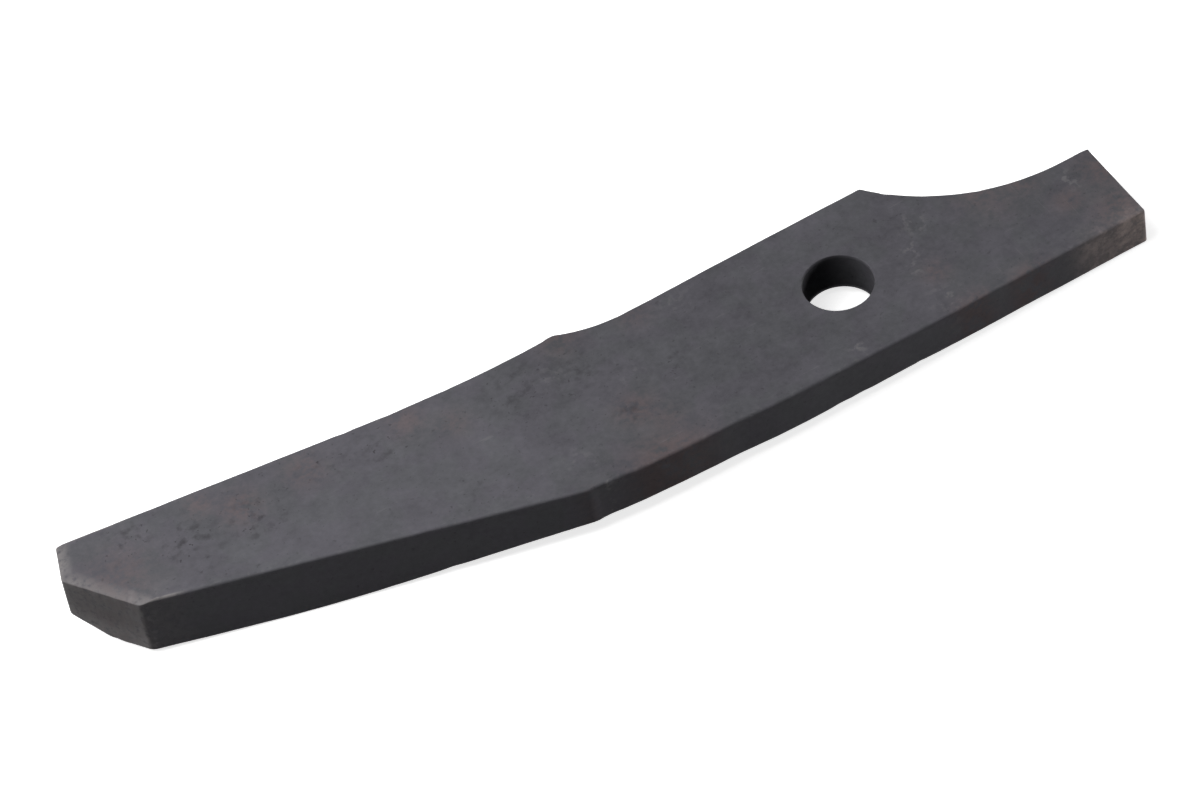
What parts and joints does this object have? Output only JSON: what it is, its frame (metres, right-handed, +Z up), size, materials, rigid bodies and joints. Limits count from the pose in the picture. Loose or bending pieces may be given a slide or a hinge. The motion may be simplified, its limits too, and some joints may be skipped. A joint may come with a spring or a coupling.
{
  "type": "power harrow tine",
  "caption": "Flat one-piece forged harrow tine: a bar head with a bolt hole and a hollowed tongue, and a thicker blade with a slanting, worn tip.",
  "frame": {"origin": "on the axis of the bolt hole, in the plane of the head's underside", "axes": "+X towards the end of the tongue, -X towards the tip, -Y the leading side, +Z up out of the upper face"},
  "size_m": [0.3464, 0.0839, 0.0236],
  "materials": {
    "forged_steel": "dull dark forge scale, a little rust and pitting"
  },
  "bodies": {
    "root": {"tine": "forged_steel"}
  },
  "joints": []
}
